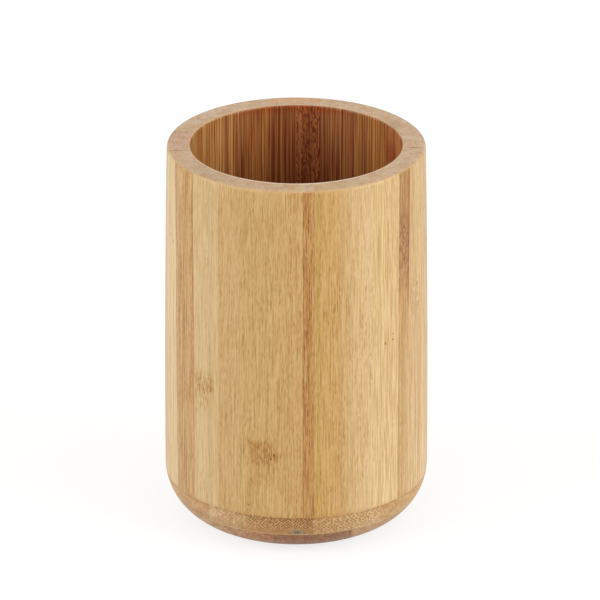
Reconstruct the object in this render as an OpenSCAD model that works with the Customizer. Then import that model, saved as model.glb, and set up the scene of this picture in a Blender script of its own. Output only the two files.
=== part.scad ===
// Bathroom tumbler turned from bamboo.
// Upright bamboo strips are glued side by side into a block, which is bored through and turned round.
// A two-ply bamboo board closes the lower end, and the round bottom corner is turned across both.
// The origin is the middle of the underside, +Z is up and -Y is the front.

/* [Body] */
// Diameter at the widest place, where the side meets the bottom corner
body_d = 75; // [68:1:84]
// Height from the table to the rim
body_h = 112; // [90:1:130]
// How far the side draws in on its way up to the rim
rim_draw_in = 1.1; // [0:0.1:2]
// Thickness of the wall at the rim
wall_t = 6.6; // [5.5:0.1:8]

/* [Rim] */
// Round on the outer edge of the rim
rim_outer_round = 1.2; // [0.6:0.1:2]
// Round on the inner edge of the rim
rim_inner_round = 0.8; // [0.4:0.1:1.4]

/* [Bottom] */
// Radius of the turned bottom corner
corner_r = 15.7; // [12:0.1:18]
// Depth taken off the corner's round by the flat that the cup stands on
foot_cut = 0.6; // [0.3:0.1:1.2]
// Thickness of the lower ply of the base board
lower_ply_t = 7; // [5:0.1:8]
// Thickness of the upper ply of the base board
upper_ply_t = 6.2; // [5:0.1:8]

/* [Hidden] */
$fn = 180;
overrun = 1;
body_r = body_d / 2;
bore_r = body_r - rim_draw_in - wall_t;
corner_h = corner_r - foot_cut;
seam_h = lower_ply_t + upper_ply_t;
side_bands = 12;

// Places of the joints across the front, left to right, as shares of the body's radius
front_joint_shares = [-0.900, -0.766, -0.581, 0.049, 0.135, 0.583, 0.764, 0.843];
// Places of the joints across the back on each side of its middle, left to right
back_left_joint_shares = [-0.790, -0.672, -0.427, -0.187];
back_right_joint_shares = [0.181, 0.427, 0.672, 0.790];
// Front and back edges of the strips at the two sides
left_edge_shares = [-0.160, 0.237];
right_edge_shares = [-0.123, 0.272];
// Places of the joints in the two plies of the base board, left to right
upper_ply_joint_shares = [-0.656, -0.352, 0.129, 0.635];
lower_ply_joint_shares = [-0.179, 0.416];
// How far into the wall the ply joint at the middle of the back lies
back_ply_share = 0.21;

front_xs = body_r * [-1, each front_joint_shares, 1];
back_left_xs = body_r * [-1, each back_left_joint_shares];
back_right_xs = body_r * [each back_right_joint_shares, 1];
left_ys = body_r * left_edge_shares;
right_ys = body_r * right_edge_shares;
back_ply_y = bore_r + back_ply_share * wall_t;
upper_ply_xs = body_r * [-1, each upper_ply_joint_shares, 1];
lower_ply_xs = body_r * [-1, each lower_ply_joint_shares, 1];

front_count = len(front_xs) - 1;
back_left_count = len(back_left_xs) - 1;
back_right_count = len(back_right_xs) - 1;
upper_ply_count = len(upper_ply_xs) - 1;
lower_ply_count = len(lower_ply_xs) - 1;

front_colours = ["#d9bc84", "#a97c4a", "#dcc188", "#cfa55c", "#99642f", "#cba461", "#d8bb84", "#855026", "#dec592"];
back_colours = ["#c69c60", "#b98a52", "#cba46a", "#c0945a", "#bd9156", "#c89f64", "#b6884f", "#cda76e"];
upper_ply_colours = ["#d9a873", "#cfa877", "#a97f4c", "#c9a56f", "#d6a26c"];
lower_ply_colours = ["#cfa66c", "#ad7040", "#d2ab72"];

// Radius of the side at a height: upright above the corner, then drawing in faster towards the rim
function side_r(z) = body_r - rim_draw_in * pow((z - corner_h) / (body_h - corner_h), 2);

// Half of the cup's outer outline, filled to the axis
module outer_outline() {
    round_h = body_h - rim_outer_round;
    round_x = side_r(round_h) - rim_outer_round;
    side_points = [
        for (i = [0:side_bands])
            let (z = corner_h + (round_h - corner_h) * i / side_bands) [side_r(z), z]
    ];
    polygon([[0, corner_h], each side_points, [0, round_h]]);
    translate([round_x, round_h]) circle(r = rim_outer_round);
    translate([0, corner_h]) square([round_x, body_h - corner_h]);
    intersection() {
        square([body_r, corner_h]);
        union() {
            square([body_r - corner_r, corner_h]);
            translate([body_r - corner_r, corner_h]) circle(r = corner_r);
        }
    }
}

// Half of the bore's outline, with the round on the inner edge of the rim
module bore_outline() {
    round_h = body_h - rim_inner_round;
    square([bore_r, body_h + overrun]);
    difference() {
        translate([0, round_h]) square([bore_r + rim_inner_round, rim_inner_round + overrun]);
        translate([bore_r + rim_inner_round, round_h]) circle(r = rim_inner_round);
    }
}

// The turned wall, before it is parted into its strips
module turned_wall() {
    rotate_extrude() difference() {
        outer_outline();
        bore_outline();
        square([body_d, seam_h]);
    }
}

// The turned base board, before it is parted into its plies and strips
module turned_board() {
    rotate_extrude() intersection() {
        outer_outline();
        square([body_d, seam_h]);
    }
}

// The strip of the wall that stands between two joints in X and two in Y
module wall_strip(x_low, x_high, y_low, y_high) {
    intersection() {
        turned_wall();
        translate([x_low, y_low, 0]) cube([x_high - x_low, y_high - y_low, body_h + overrun]);
    }
}

// The strip of the base board between two joints in X, from one ply joint to the next in Z
module board_strip(x_low, x_high, z_low, z_high) {
    intersection() {
        turned_board();
        translate([x_low, -body_d, z_low]) cube([x_high - x_low, 2 * body_d, z_high - z_low]);
    }
}

// Strip of the front: it reaches back to the side strip of its own side
module front_strip(i) {
    back_y = front_xs[i - 1] < 0 ? left_ys[0] : right_ys[0];
    color(front_colours[i - 1]) wall_strip(front_xs[i - 1], front_xs[i], -body_d, back_y);
}

// Strip at the left side
module left_strip() {
    color("#cda568") wall_strip(-body_d, 0, left_ys[0], left_ys[1]);
}

// Strip at the right side
module right_strip() {
    color("#d3ae74") wall_strip(0, body_d, right_ys[0], right_ys[1]);
}

// Strip of the back, left of its middle
module back_left_strip(i) {
    color(back_colours[i - 1]) wall_strip(back_left_xs[i - 1], back_left_xs[i], left_ys[1], body_d);
}

// Strip of the back, right of its middle
module back_right_strip(i) {
    color(back_colours[back_left_count + i - 1])
        wall_strip(back_right_xs[i - 1], back_right_xs[i], right_ys[1], body_d);
}

// Outer layer at the middle of the back
module back_centre_outer_ply() {
    color("#b9854c") wall_strip(back_left_xs[back_left_count], back_right_xs[0], back_ply_y, body_d);
}

// Inner layer at the middle of the back, left half
module back_centre_inner_left() {
    color("#c79f66") wall_strip(back_left_xs[back_left_count], 0, 0, back_ply_y);
}

// Inner layer at the middle of the back, right half
module back_centre_inner_right() {
    color("#ae7f49") wall_strip(0, back_right_xs[0], 0, back_ply_y);
}

// Strip of the upper ply of the base board
module base_upper_strip(i) {
    color(upper_ply_colours[i - 1]) board_strip(upper_ply_xs[i - 1], upper_ply_xs[i], lower_ply_t, seam_h);
}

// Strip of the lower ply of the base board
module base_lower_strip(i) {
    color(lower_ply_colours[i - 1]) board_strip(lower_ply_xs[i - 1], lower_ply_xs[i], 0, lower_ply_t);
}

for (i = [1:front_count])
    front_strip(i);
left_strip();
right_strip();
for (i = [1:back_left_count])
    back_left_strip(i);
for (i = [1:back_right_count])
    back_right_strip(i);
back_centre_outer_ply();
back_centre_inner_left();
back_centre_inner_right();
for (i = [1:upper_ply_count])
    base_upper_strip(i);
for (i = [1:lower_ply_count])
    base_lower_strip(i);
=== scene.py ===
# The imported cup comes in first. Its thirty glued pieces keep the shapes they were turned to, and
# each gets its own bamboo below, in the order in which the cup is put together.
import math
import bpy
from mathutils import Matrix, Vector

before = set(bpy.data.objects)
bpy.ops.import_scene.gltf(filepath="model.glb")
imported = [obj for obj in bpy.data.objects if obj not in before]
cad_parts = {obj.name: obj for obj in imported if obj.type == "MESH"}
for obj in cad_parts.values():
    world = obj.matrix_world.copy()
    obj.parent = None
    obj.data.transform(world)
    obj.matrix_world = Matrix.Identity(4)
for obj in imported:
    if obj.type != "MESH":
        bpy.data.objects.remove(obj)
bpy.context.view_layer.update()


# Golden front strips of the wall: upright bamboo, planed to width, glued edge to edge, then turned
# with the rest. Cut from deep in the stalk, they show their fibres as short dashes. The left
# one has the scar of a stalk's joint near its foot. Sanded, with one coat of satin lacquer.
MM = 1000.0             # millimetres in a metre
BODY_RADIUS = 37.5      # mm, outside of the wall just above the round corner
DRAW_IN = 1.1           # mm, how far the outside draws in by the rim
CORNER_HEIGHT = 15.1    # mm, top of the round corner
SEAM_HEIGHT = 13.2      # mm, joint between the wall and the board
RIM_HEIGHT = 112.0      # mm, sawn and eased top of the wall
EASED_DEPTH = 1.6       # mm, how far below the rim its sawn end and eased edges reach
OUTER_EDGE = 36.0       # mm, radius at which the rim's sawn end rounds over to the side
BORE_RADIUS = 29.8      # mm, inside of the wall
BORE_EDGE = 0.45        # mm, how far out from the bore its colour reaches at the mouth
ARRIS_HIGHLIGHT_WIDTH = 0.25      # mm, painted highlight along the sanded arris round the bore's mouth
ARRIS_HIGHLIGHT_SPREAD = 0.75     # mm, how much wider the painted highlight shows at the very front
DASH_LENGTH = 2.0       # mm, usual length of a fibre that rises out of the turned side
GRAIN_DEPTH = 0.00005   # m, how deep the grain is felt through the lacquer
ORIGIN = (0.0, 0.0, 0.0)
RIM_TONE = "#dcc1a1"
GRAIN_TINT = "#e0d0b0"
# tint of the painted shade along the rim's outer edge at the back
BACK_EDGE_SHADE_TINT = "#a49c92"
GOLDEN_BORE = "#d29b5a"


def tone(card):
    """A colour as on a paint card, turned into what a shader reads."""
    parts = [int(card[i:i + 2], 16) / 255 for i in (1, 3, 5)]
    return tuple(c / 12.92 if c <= 0.04045 else ((c + 0.055) / 1.055) ** 2.4 for c in parts) + (1.0,)


def put(tree, kind, feeds=None, **settings):
    """Puts one node on a tree and feeds its sockets with values or with other sockets."""
    step = tree.nodes.new(kind)
    for name, value in settings.items():
        setattr(step, name, value)
    for socket, value in (feeds or {}).items():
        if isinstance(value, bpy.types.NodeSocket):
            tree.links.new(value, step.inputs[socket])
        else:
            step.inputs[socket].default_value = tone(value) if isinstance(value, str) else value
    return step


def sum_of(tree, operation, *values):
    """One sum over numbers or sockets."""
    return put(tree, "ShaderNodeMath", dict(enumerate(values)), operation=operation).outputs[0]


def times(tree, first, *others):
    """Numbers or sockets, multiplied together."""
    for other in others:
        first = sum_of(tree, "MULTIPLY", first, other)
    return first


def stretch(tree, place, scale):
    """A place, scaled along each axis."""
    return put(tree, "ShaderNodeVectorMath", {0: place, 1: scale}, operation="MULTIPLY").outputs[0]


def enlarge(tree, place, scale):
    """A place, scaled by one number that may be a socket."""
    return put(tree, "ShaderNodeVectorMath", {0: place, 3: scale}, operation="SCALE").outputs[0]


def moved(tree, place, step):
    """A place, moved by a step."""
    return put(tree, "ShaderNodeVectorMath", {0: place, 1: step}, operation="ADD").outputs[0]


def away_from(tree, centre, place):
    """The step from a centre to a place."""
    return put(tree, "ShaderNodeVectorMath", {0: place, 1: centre}, operation="SUBTRACT").outputs[0]


def length_of(tree, step):
    """How long a step is."""
    return put(tree, "ShaderNodeVectorMath", {0: step}, operation="LENGTH").outputs[1]


def axes_of(tree, place):
    """A place's three numbers, one by one."""
    return put(tree, "ShaderNodeSeparateXYZ", {0: place}).outputs


def cloud(tree, place, detail=1.0, distortion=0.0):
    """Soft noise at a place, mostly between 0.3 and 0.7."""
    return put(tree, "ShaderNodeTexNoise", {"Vector": place, "Scale": 1.0, "Detail": detail,
                                            "Distortion": distortion}).outputs["Fac"]


def fade(tree, value, start, end):
    """0 at start and 1 at end, with a soft run between them."""
    return put(tree, "ShaderNodeMapRange", {"Value": value, "From Min": start, "From Max": end},
               interpolation_type="SMOOTHSTEP").outputs[0]


def lay(tree, share, under, top, how="MIX"):
    """One colour laid over another."""
    return put(tree, "ShaderNodeMix", {0: share, 6: under, 7: top}, data_type="RGBA",
               blend_type=how).outputs[2]


def tinted(tree, colour, tint, mask, share=1.0):
    """A colour, darkened by a tint as far as a mask and a share let it."""
    return lay(tree, times(tree, mask, share), colour, tint, "MULTIPLY")


def blotched(tree, colour, place, scale, detail, low, high, tint, share):
    """A colour with soft blotches of a tint, where noise rises from low to high."""
    noise = cloud(tree, stretch(tree, place, scale), detail)
    return tinted(tree, colour, tint, fade(tree, noise, low, high), share)


def soft_spot(tree, colour, place, centre, half_size, tint, share, how="MULTIPLY"):
    """A colour with one soft-edged patch of another tone."""
    away = stretch(tree, away_from(tree, centre, place), tuple(1 / half for half in half_size))
    return lay(tree, times(tree, fade(tree, length_of(tree, away), 1.2, 0.4), share), colour, tint, how)


def tones_along(tree, place, tones):
    """One tone, or tones that change along an axis, each given with its place in millimetres."""
    if isinstance(tones, str):
        return tones
    axis, stops = tones[0], tones[1:]
    low, high = stops[0][0], stops[-1][0]
    value = axes_of(tree, place)["xyz".index(axis)]
    share = put(tree, "ShaderNodeMapRange", {"Value": value, "From Min": low, "From Max": high}).outputs[0]
    ramp = put(tree, "ShaderNodeValToRGB", {0: share})
    points = ramp.color_ramp.elements
    while len(points) < len(stops):
        points.new(0.5)
    for point, (where, shade) in zip(points, stops):
        point.position, point.color = (where - low) / (high - low), tone(shade)
    return ramp.outputs["Color"]


def new_effect(name, takes, masks, places=()):
    """An empty node group for one effect, with what it takes, and the masks and places it gives."""
    tree = bpy.data.node_groups.new(name, "ShaderNodeTree")
    for label, value in takes.items():
        kind = "NodeSocketVector" if isinstance(value, tuple) else "NodeSocketFloat"
        tree.interface.new_socket(label, in_out="INPUT", socket_type=kind).default_value = value
    for label in places:
        tree.interface.new_socket(label, in_out="OUTPUT", socket_type="NodeSocketVector")
    for label in masks:
        tree.interface.new_socket(label, in_out="OUTPUT", socket_type="NodeSocketFloat")
    tree.nodes.new("NodeGroupOutput").name = "results"
    return tree, tree.nodes.new("NodeGroupInput").outputs


def give(tree, results):
    """Links what an effect works out to its named outputs."""
    for label, value in results.items():
        tree.links.new(value, tree.nodes["results"].inputs[label])


def effect(tree, group, **values):
    """Places an effect in a material, with this material's own values."""
    feeds = {label.replace("_", " "): value for label, value in values.items()}
    return put(tree, "ShaderNodeGroup", feeds, node_tree=group).outputs


def make_turned_faces():
    """Where a point of the cup is, in millimetres, and which of its turned faces it lies on."""
    tree, _ = new_effect("turned faces", {}, ("Rim", "Bore", "Arris Highlight", "Round", "Back Edge Shade", "Foot"),
                         places=("Place",))
    spot = put(tree, "ShaderNodeTexCoord").outputs
    place = stretch(tree, spot["Object"], (MM, MM, MM))
    _, y, z = axes_of(tree, place)
    facing_up = axes_of(tree, spot["Normal"])[2]
    radius = length_of(tree, stretch(tree, place, (1.0, 1.0, 0.0)))
    near_rim = fade(tree, z, RIM_HEIGHT - EASED_DEPTH, RIM_HEIGHT - EASED_DEPTH + 0.6)
    on_outer_edge = fade(tree, radius, OUTER_EDGE - 0.5, OUTER_EDGE)
    bore = fade(tree, radius, BORE_RADIUS + BORE_EDGE, BORE_RADIUS + 0.1)
    # the painted highlight on the arris shows wider and paler towards the front
    in_front = sum_of(tree, "MAXIMUM", 0.0, sum_of(tree, "DIVIDE", y, -BORE_RADIUS))
    highlight_end = sum_of(tree, "MULTIPLY_ADD", in_front, ARRIS_HIGHLIGHT_SPREAD, BORE_RADIUS + ARRIS_HIGHLIGHT_WIDTH)
    arris_highlight = fade(tree, radius, sum_of(tree, "ADD", highlight_end, 0.25), highlight_end)
    highlight_share = times(tree, near_rim, sum_of(tree, "MULTIPLY_ADD", in_front, 0.6, 0.4))
    give(tree, {
        "Place": place, "Bore": bore,
        "Rim": times(tree, fade(tree, facing_up, 0.55, 0.95), near_rim),
        "Round": times(tree, fade(tree, facing_up, 0.4, 0.7), near_rim),
        # painted highlight along the bore's arris, strongest at the front
        "Arris Highlight": times(tree, arris_highlight, highlight_share, sum_of(tree, "SUBTRACT", 1.0, bore)),
        # painted shade on the rim's outer edge, on the back half only
        "Back Edge Shade": times(tree, on_outer_edge, near_rim, fade(tree, y, -2.0, 9.0)),
        "Foot": fade(tree, z, SEAM_HEIGHT + 1.8, SEAM_HEIGHT - 0.2)})
    return tree


def make_bamboo_grain():
    """Bamboo's grain at a place whose third axis runs along it.

    It has broad streaks, lines, soft hair, crisper threads, and fibres that rise out of the surface
    as short dark or pale dashes."""
    tree, take = new_effect(
        "bamboo grain", {"Place": ORIGIN, "Seed": 0.0, "Fineness": 1.0, "Dash Length": 4.0},
        ("Streaks", "Lines", "Hair", "Threads", "Dark Dashes", "Pale Dashes"))
    # each strip's seed moves it to a part of the noise of its own
    seeds = {axis: times(tree, take["Seed"], step) for axis, step in enumerate((31.7, 17.3, 53.1))}
    own = moved(tree, take["Place"], put(tree, "ShaderNodeCombineXYZ", seeds).outputs[0])
    sway = put(tree, "ShaderNodeTexNoise", {"Vector": stretch(tree, own, (0.06, 0.06, 0.014)), "Scale": 1.0,
                                            "Detail": 1.0}).outputs["Color"]
    bent = moved(tree, own, stretch(tree, sway, (0.8, 0.8, 0.0)))

    def along_grain(across, along):
        """The swayed place, drawn out along the grain."""
        width = times(tree, take["Fineness"], across)
        scale = put(tree, "ShaderNodeCombineXYZ", {0: width, 1: width, 2: along}).outputs[0]
        return stretch(tree, bent, scale)

    fibres = cloud(tree, along_grain(4.0, 0.06), 0.0)
    breaks = cloud(tree, along_grain(3.0, sum_of(tree, "DIVIDE", 1.0, take["Dash Length"])), 0.0)
    patches = fade(tree, cloud(tree, along_grain(0.28, 0.06)), 0.38, 0.6)
    give(tree, {
        "Streaks": fade(tree, cloud(tree, along_grain(0.36, 0.005)), 0.36, 0.64),
        "Lines": fade(tree, cloud(tree, along_grain(1.15, 0.009)), 0.44, 0.68),
        "Hair": fade(tree, cloud(tree, along_grain(2.6, 0.045)), 0.42, 0.66),
        "Threads": fade(tree, cloud(tree, along_grain(2.9, 0.1), 0.0), 0.42, 0.62),
        "Dark Dashes": times(tree, fade(tree, fibres, 0.47, 0.6), fade(tree, breaks, 0.46, 0.57),
                             sum_of(tree, "MULTIPLY_ADD", patches, 0.4, 0.6)),
        "Pale Dashes": times(tree, fade(tree, fibres, 0.53, 0.38), fade(tree, breaks, 0.56, 0.42))})
    return tree


def make_cut_fibres():
    """Fibre bundles sawn across: small dots in loose diagonal rows."""
    tree, take = new_effect(
        "cut fibres", {"Place": ORIGIN, "Spacing": 0.7, "Dot Size": 0.3, "Order": 0.6}, ("Dots",))
    turned = put(tree, "ShaderNodeVectorRotate", {"Vector": take["Place"], "Angle": math.radians(43)},
                 rotation_type="Z_AXIS").outputs[0]
    cell = enlarge(tree, turned, sum_of(tree, "DIVIDE", 1.0, take["Spacing"]))
    nearest = put(tree, "ShaderNodeTexVoronoi", {"Vector": cell, "Scale": 1.0, "Randomness": take["Order"]},
                  voronoi_dimensions="2D").outputs["Distance"]
    dot_end = sum_of(tree, "ADD", take["Dot Size"], 0.16)
    give(tree, {"Dots": fade(tree, nearest, dot_end, sum_of(tree, "SUBTRACT", take["Dot Size"], 0.12))})
    return tree


def make_stalk_scar():
    """Scar where the stalk had one of its joints: a browner patch of short broken strokes, dark and pale."""
    tree, take = new_effect(
        "stalk scar", {"Place": ORIGIN, "Centre": ORIGIN, "Half Size": (4.0, 4.0, 4.0), "Seed": 0.0,
                       "Curl": 0.3, "Fineness": 1.0}, ("Patch", "Dark Strokes", "Pale Strokes"))
    away = away_from(tree, take["Centre"], take["Place"])
    share = put(tree, "ShaderNodeVectorMath", {0: stretch(tree, away, (1.0, 0.0, 1.0)), 1: take["Half Size"]},
                operation="DIVIDE").outputs[0]
    # the patch is squarer than an ellipse, with a ragged edge
    reach = sum_of(tree, "SQRT", length_of(tree, stretch(tree, share, share)))
    ragged = cloud(tree, stretch(tree, moved(tree, away, (7.3, 0.0, 0.0)), (0.8, 0.3, 0.25)))
    frayed = sum_of(tree, "ADD", reach, sum_of(tree, "MULTIPLY_ADD", ragged, 1.3, -0.65))
    patch = fade(tree, frayed, 1.15, 0.65)
    own = moved(tree, away, put(tree, "ShaderNodeCombineXYZ", {1: take["Seed"]}).outputs[0])
    drawn = enlarge(tree, stretch(tree, own, (3.7, 1.0, 0.6)), take["Fineness"])
    strokes = cloud(tree, drawn, distortion=take["Curl"])
    give(tree, {"Patch": patch, "Dark Strokes": times(tree, patch, fade(tree, strokes, 0.47, 0.6)),
                "Pale Strokes": times(tree, patch, fade(tree, strokes, 0.43, 0.3))})
    return tree


def make_pin_hole():
    """Pin hole where a thread of the stalk has dropped out."""
    tree, take = new_effect("pin hole", {"Place": ORIGIN, "Centre": ORIGIN, "Size": 0.3}, ("Hole",))
    gap = length_of(tree, stretch(tree, away_from(tree, take["Centre"], take["Place"]), (1.0, 1.0, 0.7)))
    give(tree, {"Hole": fade(tree, gap, times(tree, take["Size"], 1.5), times(tree, take["Size"], 0.5))})
    return tree


turned_faces = make_turned_faces()
bamboo_grain = make_bamboo_grain()
cut_fibres = make_cut_fibres()
stalk_scar = make_stalk_scar()
pin_hole = make_pin_hole()


def scar(across, up, half_width, half_height, seed, stain, dark, pale, curl, fineness=1.0):
    """The scar of a stalk's joint, for a strip's marks: how strong its stain and its dark and pale
    strokes are, and how curled and fine."""
    def mark(tree, place, outside, colour, relief):
        masks = effect(tree, stalk_scar, Place=place, Centre=(across, 0.0, up),
                       Half_Size=(half_width, 1.0, half_height), Seed=seed, Curl=curl, Fineness=fineness)
        sunk = times(tree, masks["Dark Strokes"], outside, dark)
        colour = tinted(tree, colour, "#ecdab4", times(tree, masks["Patch"], outside), stain)
        colour = tinted(tree, colour, "#d4ba8c", sunk)
        colour = lay(tree, times(tree, masks["Pale Strokes"], outside, pale), colour, "#f0cf9c")
        return colour, sum_of(tree, "SUBTRACT", relief, sunk)
    return mark


def hole(across, up, size):
    """A pin hole on the front of the wall, for a strip's marks."""
    out_to = BODY_RADIUS - DRAW_IN * ((up - CORNER_HEIGHT) / (RIM_HEIGHT - CORNER_HEIGHT)) ** 2
    centre = (across, -math.sqrt(out_to ** 2 - across ** 2), up)

    def mark(tree, place, outside, colour, relief):
        mask = effect(tree, pin_hole, Place=place, Centre=centre, Size=size)["Hole"]
        return lay(tree, times(tree, outside, mask), colour, "#783a00"), relief
    return mark


def bored_face(tree, place, tones, seed, mottle, stains):
    """The colour of a strip's bored face: browner than its side, partly its own tone and partly painted shade
    inside the cup, with stronger lines.
    """
    _, y, z = axes_of(tree, place)
    # painted light: the top of its back, just below the rim, is tinted warmer where the light catches it
    painted_lit_edge = times(tree, fade(tree, z, RIM_HEIGHT - 3.0, RIM_HEIGHT - 1.0), fade(tree, y, 24.0, 29.0))
    colour = tinted(tree, tones_along(tree, place, tones), "#ffdcae", painted_lit_edge)
    fine = effect(tree, bamboo_grain, Place=place, Seed=seed + 0.5, Fineness=1.9)
    drawn_out = effect(tree, bamboo_grain, Place=stretch(tree, place, (1.0, 1.0, 0.15)), Seed=seed + 0.7,
                       Fineness=1.25)
    for mask, share, tint in ((fine["Streaks"], 0.15, "#d8a892"), (fine["Lines"], 0.35, "#a87c66"),
                              (fine["Hair"], 1.0, "#bc9680"),
                              (drawn_out["Threads"], 0.8 * (1.0 - mottle), "#a47c66")):
        colour = tinted(tree, colour, tint, mask, share)
    if mottle:
        wavy = cloud(tree, stretch(tree, place, (2.6, 2.6, 0.65)), distortion=0.9)
        colour = tinted(tree, colour, "#96684f", fade(tree, wavy, 0.46, 0.62), mottle)
    for stain in stains:
        colour = soft_spot(tree, colour, place, *stain)
    return colour


def sawn_end(tree, place, tones, streaks, stains):
    """The colour of a strip's sawn end on the rim: greyer, with faint dots of cut fibres."""
    flat = stretch(tree, place, (1.0, 1.0, 0.0))
    dots = effect(tree, cut_fibres, Place=flat, Spacing=0.72, Dot_Size=0.2, Order=0.8)["Dots"]
    colour = tinted(tree, tones_along(tree, place, tones), "#dccbb6", dots, 0.8)
    colour = tinted(tree, colour, "#e9d3bf", streaks, 0.35)
    colour = blotched(tree, colour, flat, (0.8, 1.9, 0.0), 2.0, 0.42, 0.64, "#e8dccb", 0.55)
    colour = blotched(tree, colour, flat, (0.22, 0.35, 0.0), 1.0, 0.42, 0.58, "#f3e3d3", 0.6)
    for stain in stains:
        colour = soft_spot(tree, colour, place, *stain)
    return colour


def new_surface(name):
    """A new material, and its tree with nothing on it."""
    material = bpy.data.materials.new(name)
    material.use_nodes = True
    material.node_tree.nodes.clear()
    return material, material.node_tree


def lacquer(node, material, colour, gloss, relief, depth):
    """Closes a strip's material with satin lacquer, through which its grain is felt, and puts it on."""
    tree = material.node_tree
    bump = put(tree, "ShaderNodeBump", {"Strength": 0.35, "Distance": depth, "Height": relief})
    shader = put(tree, "ShaderNodeBsdfPrincipled", {"Base Color": colour, "Roughness": gloss,
                                                    "Normal": bump.outputs[0]})
    put(tree, "ShaderNodeOutputMaterial", {0: shader.outputs[0]})
    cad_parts[node].data.materials[0] = material


def upright_bamboo(node, seed, side, bore, rim=RIM_TONE, streaks=0.22, lines=0.15, threads=0.42,
                   dashes=0.56, pale=0.45, dash_tint="#cdb688", fineness=1.0, marks=(), bore_mottle=0.0,
                   bore_stains=(), rim_stains=()):
    """Dresses one strip of the wall, with tones for its turned side, its bored face and its sawn end.

    Its marks lie on the turned side. A stain is (centre, half size, tint, share), in millimetres."""
    material, tree = new_surface(node + "_bamboo")
    faces = effect(tree, turned_faces)
    place = faces["Place"]
    outside = sum_of(tree, "SUBTRACT", 1.0, sum_of(tree, "MAXIMUM", faces["Bore"], faces["Rim"]))
    grain = effect(tree, bamboo_grain, Place=place, Seed=seed, Fineness=fineness, Dash_Length=DASH_LENGTH)

    # the turned side and its marks
    colour = tones_along(tree, place, side)
    for mask, share, tint in (("Streaks", streaks, "#efe2cf"), ("Lines", lines, GRAIN_TINT),
                              ("Threads", threads, GRAIN_TINT), ("Dark Dashes", dashes, dash_tint)):
        colour = tinted(tree, colour, tint, grain[mask], share)
    colour = lay(tree, times(tree, grain["Pale Dashes"], dashes * pale), colour, "#f0d29c")
    relief = sum_of(tree, "MULTIPLY_ADD", grain["Dark Dashes"], -0.5, times(tree, grain["Threads"], -0.4))
    for mark in marks:
        colour, relief = mark(tree, place, outside, colour, relief)

    # its foot at the glue line, then the other faces over it, and last the eased edges of the rim, with
    # painted shade on the outer edge at the back and a painted highlight along the bore's arris
    colour = tinted(tree, colour, "#e9d0ac", faces["Foot"], 0.25)
    colour = lay(tree, times(tree, faces["Round"], 0.4), colour, "#dfba88")
    colour = lay(tree, faces["Bore"], colour, bored_face(tree, place, bore, seed, bore_mottle, bore_stains))
    end = sawn_end(tree, place, rim, grain["Streaks"], rim_stains)
    # painted shade on the rim's outer edge at the back, on the sawn end and on the side
    end = tinted(tree, end, BACK_EDGE_SHADE_TINT, faces["Back Edge Shade"], 0.45)
    colour = lay(tree, faces["Rim"], colour, end)
    colour = tinted(tree, colour, BACK_EDGE_SHADE_TINT, faces["Back Edge Shade"], 0.45)
    # painted highlight: a pale line along the bore's arris, wider and stronger at the front
    colour = lay(tree, times(tree, faces["Arris Highlight"], 0.85), colour, "#fbe2c4")
    gloss = sum_of(tree, "ADD", times(tree, grain["Lines"], 0.1),
                   sum_of(tree, "MULTIPLY_ADD", faces["Rim"], 0.12, 0.42))
    lacquer(node, material, colour, gloss, relief, GRAIN_DEPTH)


upright_bamboo(
    "front_strip_4", seed=4.0, bore=GOLDEN_BORE,
    side=("x", (-21.8, "#d9b47a"), (-14.0, "#d7b070"), (1.8, "#d7ae6c")),
    rim=("x", (-21.8, "#d1b591"), (-10.0, "#d8ba98"), (1.8, "#dabe95")),
    marks=[scar(-9.6, 33.0, 5.2, 3.9, seed=4.0, stain=0.9, dark=0.5, pale=0.4, curl=0.05, fineness=1.05),
           scar(-10.6, 26.6, 3.4, 4.6, seed=5.0, stain=0.35, dark=0.3, pale=0.35, curl=0.05),
           hole(-6.25, 32.4, 0.27), hole(-7.1, 31.2, 0.25), hole(-13.55, 16.4, 0.18)])
upright_bamboo(
    "front_strip_6", seed=6.0, bore=GOLDEN_BORE,
    side=("x", (5.0, "#d5aa61"), (11.0, "#d8ae6a"), (14.0, "#e0b97d"), (18.5, "#e9c791"), (21.9, "#ebca95")),
    rim=("x", (5.0, "#dabe95"), (14.0, "#d6ba96"), (21.9, "#d9bc98")))


# Pale front strips of the wall, from near the bark of a light stalk: finer and straighter in the
# grain, with few dashes. Three of them have pin holes, and two have the scar of a stalk's joint.
PALE_BORE = "#dba360"

upright_bamboo("front_strip_1", seed=1.0, side="#ecce9e", bore=PALE_BORE, lines=0.42, dashes=0.3,
               marks=[hole(-35.2, 88.9, 0.2), hole(-34.5, 87.6, 0.2)])
upright_bamboo(
    "front_strip_3", seed=3.0, side="#e3c38e", bore=PALE_BORE, rim="#d2b695", lines=0.2, dashes=0.4,
    marks=[scar(-25.9, 50.4, 2.8, 3.4, seed=3.0, stain=0.3, dark=0.9, pale=0.5, curl=0.0, fineness=0.95),
           scar(-26.4, 45.0, 2.2, 3.6, seed=4.0, stain=0.1, dark=0.5, pale=0.4, curl=0.0, fineness=0.9),
           hole(-24.2, 48.4, 0.22)])
upright_bamboo(
    "front_strip_7", seed=7.0, side=("z", (12.0, "#f3d4a0"), (45.0, "#f0d09a"), (75.0, "#efce96")),
    bore=PALE_BORE, lines=0.36, threads=0.7, dashes=0.35, fineness=1.15,
    marks=[hole(25.0, 62.6, 0.25), hole(27.1, 63.0, 0.23), hole(27.1, 64.7, 0.18)])
upright_bamboo(
    "front_strip_9", seed=9.0, side=("z", (12.0, "#f2d4a2"), (50.0, "#eac893"), (80.0, "#e6c289")),
    bore=PALE_BORE, streaks=0.4, lines=0.5, threads=0.6, dashes=0.4,
    marks=[scar(33.2, 71.5, 1.5, 5.6, seed=9.0, stain=0.1, dark=0.5, pale=0.6, curl=0.9, fineness=0.8)])


# Brown front strips of the wall, from a stalk that was steamed for longer. The narrow one near the
# middle is the darkest line of the front, and the one at the right fades towards its foot.
BROWN_BORE = "#d19455"
LINE_FADE = 8.0         # mm, length over which the fine line beside a joint dies out


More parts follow.
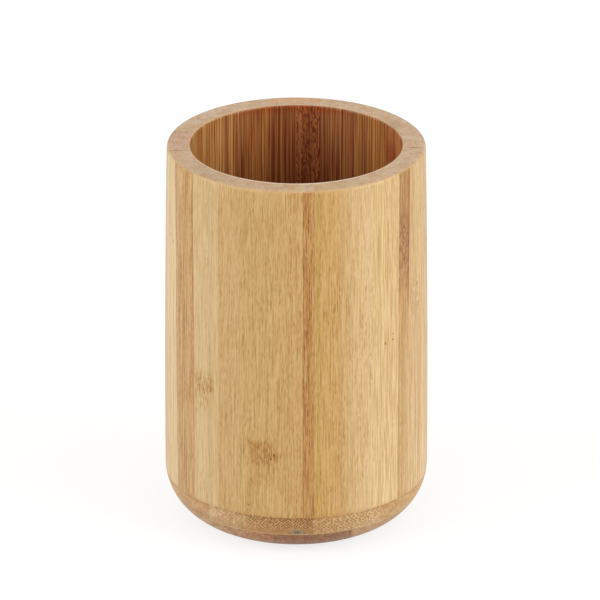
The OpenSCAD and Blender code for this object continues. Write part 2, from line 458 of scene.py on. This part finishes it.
def make_grain_eye():
    """Eye where the grain swirls round a buried bud: narrow upright rings, worn through in places."""
    tree, take = new_effect("grain eye", {"Place": ORIGIN, "Centre": ORIGIN, "Size": 2.5}, ("Rings",))
    away = away_from(tree, take["Centre"], take["Place"])
    gap = length_of(tree, stretch(tree, away, (1.0, 0.0, 0.22)))
    wobble = cloud(tree, stretch(tree, away, (1.1, 0.0, 0.5)))
    swirl = sum_of(tree, "PINGPONG", sum_of(tree, "MULTIPLY_ADD", wobble, 1.6, gap), 0.36)
    wear = cloud(tree, stretch(tree, moved(tree, away, (5.1, 0.0, 0.0)), (1.6, 0.0, 0.45)))
    near = fade(tree, gap, take["Size"], times(tree, take["Size"], 0.4))
    give(tree, {"Rings": times(tree, fade(tree, swirl, 0.1, 0.34), fade(tree, wear, 0.36, 0.58), near)})
    return tree


grain_eye = make_grain_eye()


def eye(across, up, size):
    """An eye in the grain, for a strip's marks."""
    def mark(tree, place, outside, colour, relief):
        rings = effect(tree, grain_eye, Place=place, Centre=(across, 0.0, up), Size=size)["Rings"]
        return tinted(tree, colour, "#c4a27a", times(tree, outside, rings), 0.9), relief
    return mark


def joint_line(across, width, tint, lower_end):
    """A fine line beside a joint, for a strip's marks, which dies out down at its lower end."""
    def mark(tree, place, outside, colour, relief):
        x, _, z = axes_of(tree, place)
        line = fade(tree, sum_of(tree, "ABSOLUTE", sum_of(tree, "SUBTRACT", x, across)), width, width * 0.3)
        return tinted(tree, colour, tint, fade(tree, z, lower_end, lower_end + LINE_FADE), line), relief
    return mark


upright_bamboo(
    "front_strip_2", seed=2.0, side=("z", (20.0, "#d5ab73"), (70.0, "#d6ab71"), (105.0, "#d6ab6e")),
    bore=BROWN_BORE, streaks=0.35, lines=0.45, threads=0.85, dashes=0.6,
    marks=[joint_line(-28.8, 0.35, "#eedcbe", lower_end=30.0)])
upright_bamboo(
    "front_strip_5", seed=5.0, side="#c99753", bore=BROWN_BORE, lines=0.35, threads=0.55, dashes=1.0,
    pale=0.25, dash_tint="#bf9a6e", fineness=1.3,
    marks=[joint_line(1.84, 0.4, "#f0dec4", lower_end=0.0)])
upright_bamboo(
    "front_strip_8", seed=8.0, bore=BROWN_BORE, lines=0.8, dashes=0.5,
    side=("z", (10.0, "#e3be8a"), (45.0, "#dfbb84"), (72.0, "#d3a76c"), (84.0, "#c5945a"), (95.0, "#b68249"),
          (112.0, "#c49353")),
    marks=[joint_line(31.4, 0.4, "#e8cca6", lower_end=66.0),
           scar(30.2, 82.0, 1.9, 6.0, seed=8.0, stain=0.1, dark=0.6, pale=0.2, curl=0.8, fineness=0.9),
           eye(29.9, 91.0, 2.6)])


# Side strips of the wall: golden on the left, paler on the right. Their joints run across the rim
# and down the sides of the bore.
upright_bamboo("left_strip", seed=10.0, side="#dab37a", bore="#e5b466", rim="#d7b599", dashes=0.5,
               rim_stains=[((-33.5, -5.8, RIM_HEIGHT), (4.5, 0.4, 9.0), "#ccb4a0", 0.6),
                           ((-33.5, 8.7, RIM_HEIGHT), (4.5, 0.4, 9.0), "#ccb4a0", 0.6)])
upright_bamboo("right_strip", seed=11.0, side="#dfbb84", bore="#f4b270", dashes=0.5,
               rim_stains=[((33.2, -3.6, RIM_HEIGHT), (2.6, 0.5, 9.0), "#c9b296", 0.8)])


# Back strips of the wall, left to right as seen from the front. Inside, they are what shows through
# the mouth: brown, partly their own tone and partly painted shade, with dark lines, and redder towards
# the middle. Outside, two have a scar.
upright_bamboo("back_strip_1", seed=12.0, side="#dcb67c", bore="#f3c66f")
upright_bamboo("back_strip_2", seed=13.0, side="#cfa266", bore="#fcc674", lines=0.8)
upright_bamboo(
    "back_strip_3", seed=14.0, side="#d9b075", bore=("x", (-29.0, "#f6c577"), (-14.0, "#e4a25c")),
    marks=[scar(-20.2, 72.0, 3.4, 3.6, seed=14.0, stain=0.7, dark=0.6, pale=0.4, curl=0.05)])
upright_bamboo("back_strip_4", seed=15.0, side="#d8b27a", bore="#d69654",
               bore_stains=[((-12.6, 27.0, 102.5), (1.3, 9.0, 5.0), "#f4d4c4", 0.7)])
upright_bamboo("back_strip_5", seed=16.0, side="#cfa76c", bore="#ce8e56", lines=0.8)
upright_bamboo(
    "back_strip_6", seed=17.0, side="#d9b175", bore=("x", (15.0, "#d69859"), (29.0, "#e4aa59")),
    marks=[scar(20.6, 37.0, 3.8, 3.6, seed=17.0, stain=0.8, dark=0.55, pale=0.4, curl=0.05, fineness=1.05),
           scar(20.0, 30.5, 2.6, 4.0, seed=18.0, stain=0.3, dark=0.4, pale=0.35, curl=0.05)])
upright_bamboo("back_strip_7", seed=18.0, side="#cb9d62", bore="#e29e5a", lines=0.8,
               bore_stains=[((27.0, 12.0, 103.5), (2.4, 9.0, 4.5), "#e6c8be", 0.9)],
               rim_stains=[((28.0, 14.5, RIM_HEIGHT), (1.8, 4.5, 9.0), "#dcd6d0", 0.6)])
upright_bamboo("back_strip_8", seed=19.0, side="#dfba80", bore="#d8985f")


# Middle of the back: an outer layer of redder bamboo, glued face to face on two inner strips. The
# right inner one is the darkest, and its wavy grain shows inside the mouth.
INNER_RIM = "#d3bea2"

upright_bamboo("back_centre_outer_ply", seed=20.0, side="#c8975f", bore="#be7a48", rim="#e0bb93", lines=0.8)
upright_bamboo("back_centre_inner_left", seed=21.0, side="#d3ad70", bore="#c48149", rim=INNER_RIM)
upright_bamboo("back_centre_inner_right", seed=22.0, side="#c18f55", rim=INNER_RIM, bore_mottle=0.85,
               bore=("z", (92.0, "#c47e4c"), (102.0, "#bc7846"), (109.0, "#cd834e")))


# Base board, upper ply: bamboo strips that lie front to back, so that the turned corner cuts their
# fibres across at the front and back, as rows of dots, and runs along them at the sides.
PLY_HEIGHT = 7.0                # mm, joint between the two plies
HEART_DEPTH = 2.6               # mm, how far up from that joint the heart side has few dots
DOTS_PLAIN, DOTS_GONE = 14, 36  # mm from the middle, where the dots are at their plainest, and gone
BOARD_GRAIN_DEPTH = 0.00006     # m, how deep the board's grain is felt through the lacquer


def board_bamboo(node, seed, side, ground=None, dot_tone="#8a5f35", dots=0.8, spacing=0.66, dot_size=0.27,
                 order=0.45, crowd=0.0, mottle=0.5, specks=()):
    """Dresses one strip of the base board, with tones for its long grain and for its end grain's ground.

    Spacing and dot size are in millimetres, and so is a speck, which is (centre, half size, tone)."""
    material, tree = new_surface(node + "_bamboo")
    in_upper_ply = node.startswith("base_upper")
    spot = put(tree, "ShaderNodeTexCoord").outputs
    place = stretch(tree, spot["Object"], (MM, MM, MM))
    x, y, z = axes_of(tree, place)
    normal = axes_of(tree, spot["Normal"])
    lying = put(tree, "ShaderNodeCombineXYZ", {0: x, 1: z, 2: y}).outputs[0]
    cut_across = fade(tree, sum_of(tree, "ABSOLUTE", normal[1]), 0.18, 0.5)

    # the long grain, at the sides
    grain = effect(tree, bamboo_grain, Place=lying, Seed=seed)
    colour = side
    for mask, share, tint in (("Streaks", 0.5, "#ead3bb"), ("Lines", 0.5, "#dcc4a4"),
                              ("Dark Dashes", 0.4, "#d6bb96")):
        colour = tinted(tree, colour, tint, grain[mask], share)

    # the end grain, at the front and back: its dots crowd towards the bark side, which lies uppermost,
    # and the heart side, lowermost, has next to none left of the middle
    crowding = times(tree, fade(tree, z, PLY_HEIGHT, SEAM_HEIGHT), crowd)
    bundles = effect(tree, cut_fibres, Place=lying, Spacing=spacing, Order=order,
                     Dot_Size=sum_of(tree, "ADD", crowding, dot_size))["Dots"]
    seen_dots = times(tree, bundles, dots, fade(tree, sum_of(tree, "ABSOLUTE", x), DOTS_GONE, DOTS_PLAIN))
    end = tones_along(tree, place, ground or side)
    end = blotched(tree, end, lying, (0.5, 0.5, 0.03), 1.0, 0.35, 0.65, "#e2c8a6", mottle)
    end = blotched(tree, end, lying, (2.2, 1.1, 0.3), 2.0, 0.42, 0.66, "#d9b793", mottle)
    if in_upper_ply:
        low_down = fade(tree, z, PLY_HEIGHT + HEART_DEPTH, PLY_HEIGHT + 1.5)
        heart = times(tree, low_down, fade(tree, x, 2.0, -2.0))
        end = tinted(tree, end, "#ebe5d8", heart)
        seen_dots = times(tree, seen_dots, sum_of(tree, "MULTIPLY_ADD", heart, -0.8, 1.0))
    end = lay(tree, seen_dots, end, dot_tone)
    colour = lay(tree, cut_across, colour, end)
    for centre, half_size, speck_tone in specks:
        colour = soft_spot(tree, colour, place, centre, half_size, speck_tone, 0.75, "MIX")

    # glue lines, dark against the wall and pale between the plies, and painted shade on the lower ply's foot
    # where it turns under
    if in_upper_ply:
        colour = tinted(tree, colour, "#c8a27c", fade(tree, z, SEAM_HEIGHT - 0.9, SEAM_HEIGHT - 0.2), 0.3)
        pale_glue = fade(tree, z, PLY_HEIGHT + 0.5, PLY_HEIGHT + 0.2)
        colour = lay(tree, times(tree, pale_glue, 0.6), colour, "#dcb98a")
    else:
        # painted shade: the lower ply darkens and greys where its round corner turns under towards the floor
        painted_shade_under = times(tree, fade(tree, z, 3.6, 0.6), fade(tree, normal[2], -1.0, -0.85))
        colour = tinted(tree, colour, "#c8beb4", painted_shade_under, 0.6)
    relief = sum_of(tree, "MULTIPLY_ADD", times(tree, bundles, cut_across), -0.8,
                    times(tree, grain["Lines"], -0.4))
    gloss = sum_of(tree, "MULTIPLY_ADD", grain["Lines"], 0.1, 0.45)
    lacquer(node, material, colour, gloss, relief, BOARD_GRAIN_DEPTH)


board_bamboo(
    "base_upper_strip_1", seed=31.0, side="#d4ad76", dots=0.4, spacing=0.7, order=0.7,
    specks=[((-26.4, -25.5, 10.6), (1.5, 9.0, 0.9), "#cc9870"),
            ((-29.6, -22.0, 9.2), (1.3, 9.0, 0.7), "#cc9a70")])
board_bamboo(
    "base_upper_strip_2", seed=32.0, side="#d3a878", dot_tone="#84582c", dots=0.6, spacing=0.74,
    dot_size=0.24, crowd=0.08, ground=("x", (-24.6, "#e6c595"), (-17.5, "#e2bf8c"), (-13.2, "#dab479")))
board_bamboo(
    "base_upper_strip_3", seed=33.0, side="#b98c5a", dot_tone="#6e4218", spacing=0.72, dot_size=0.26,
    crowd=0.1, ground=("x", (-13.2, "#deb47a"), (-6.0, "#d8aa6c"), (4.8, "#cb9c62")),
    specks=[((0.4, -35.0, 8.2), (2.3, 9.0, 1.3), "#9c9272"),
            ((0.2, -35.0, 8.1), (1.2, 9.0, 0.7), "#5e5a3c")])
board_bamboo(
    "base_upper_strip_4", seed=34.0, side="#d0a570", dot_tone="#88592a", spacing=0.86, dot_size=0.25,
    order=0.6, crowd=0.03, ground=("x", (4.8, "#dcb57a"), (14.0, "#e4c189"), (23.8, "#eac995")),
    specks=[((11.0, -33.0, 13.0), (5.5, 9.0, 0.8), "#cc9a60")])
board_bamboo("base_upper_strip_5", seed=35.0, side="#d9b47a", dots=0.35, spacing=0.7, order=0.7)


# Base board, lower ply: the middle strip is steamed to a reddish brown. The whole board is glued
# under the wall before turning, so the round corner runs across both plies to the flat underside.
board_bamboo(
    "base_lower_strip_1", seed=41.0, side="#c89a6c", dot_tone="#946236", dots=0.4, mottle=0.9,
    ground=("x", (-22.0, "#d8b78c"), (-14.0, "#d2a470"), (-7.0, "#bf8a56")))
board_bamboo(
    "base_lower_strip_2", seed=42.0, side="#a87450", dot_tone="#80502c", dots=0.6, mottle=0.9,
    ground=("x", (-6.7, "#b07e50"), (3.0, "#aa7640"), (15.6, "#b28254")))
board_bamboo("base_lower_strip_3", seed=43.0, side="#cda878", dot_tone="#a07446", dots=0.35)


# The studio: a sheet of white paper for floor and backdrop, and two large softboxes with a white
# tent round them.
CUP_MIDDLE = Vector((0, 0, 0.06))           # m, where the lamps look
CAMERA_PLACE = (0.00105, -1.638, 0.760)     # m
CAMERA_TILT = math.radians(90) - 0.40174    # rad, up from looking straight down
FOCAL_LENGTH = 376.2                        # mm, with a sensor 36 mm wide
WHITE = (1.0, 1.0, 1.0, 1.0)
LIT_PAPER, SEEN_PAPER = (0.8, 0.8, 0.8, 1.0), (0.32, 0.32, 0.32, 1.0)


def seen_directly(tree):
    """1 for what the camera, a reflection or glass sees, and 0 for what only lights the cup."""
    rays = put(tree, "ShaderNodeLightPath").outputs
    shiny = sum_of(tree, "ADD", rays["Is Glossy Ray"], rays["Is Transmission Ray"])
    return sum_of(tree, "MINIMUM", 1.0, sum_of(tree, "ADD", rays["Is Camera Ray"], shiny))


bpy.ops.mesh.primitive_plane_add(size=14.0, location=(0, 0, -0.0002))
floor = bpy.context.object
floor.name = "studio_floor"
paper, tree = new_surface("studio paper")
seen = seen_directly(tree)
surface = put(tree, "ShaderNodeBsdfPrincipled", {
    "Base Color": lay(tree, seen, LIT_PAPER, SEEN_PAPER), "Roughness": 0.9, "Specular IOR Level": 0.0,
    "Emission Color": WHITE, "Emission Strength": times(tree, seen, 0.77)})
put(tree, "ShaderNodeOutputMaterial", {0: surface.outputs[0]})
floor.data.materials.append(paper)

tent = bpy.data.worlds.new("white tent")
bpy.context.scene.world = tent
tent.use_nodes = True
tree = tent.node_tree
tree.nodes.clear()
glow = sum_of(tree, "MULTIPLY_ADD", seen_directly(tree), 0.45, 0.55)
cloth = put(tree, "ShaderNodeBackground", {"Color": WHITE, "Strength": glow})
put(tree, "ShaderNodeOutputWorld", {0: cloth.outputs[0]})


def softbox(name, place, size, power):
    """A square soft lamp that looks at the cup."""
    lamp = bpy.data.lights.new(name, "AREA")
    lamp.shape, lamp.size, lamp.energy = "SQUARE", size, power
    holder = bpy.data.objects.new(name, lamp)
    holder.location = place
    holder.rotation_euler = (CUP_MIDDLE - Vector(place)).to_track_quat("-Z", "Y").to_euler()
    bpy.context.scene.collection.objects.link(holder)


softbox("left softbox", (-1.6, -0.7, 0.9), 1.2, 14.0)
softbox("right softbox", (1.6, -0.8, 0.9), 1.2, 17.0)

lens = bpy.data.cameras.new("camera")
lens.lens = FOCAL_LENGTH
lens.sensor_width = 36.0
lens.clip_start, lens.clip_end = 0.05, 60.0
camera = bpy.data.objects.new("camera", lens)
camera.location = CAMERA_PLACE
camera.rotation_euler = (CAMERA_TILT, 0, 0)
bpy.context.scene.collection.objects.link(camera)
bpy.context.scene.camera = camera
bpy.context.scene.view_settings.view_transform = "Standard"
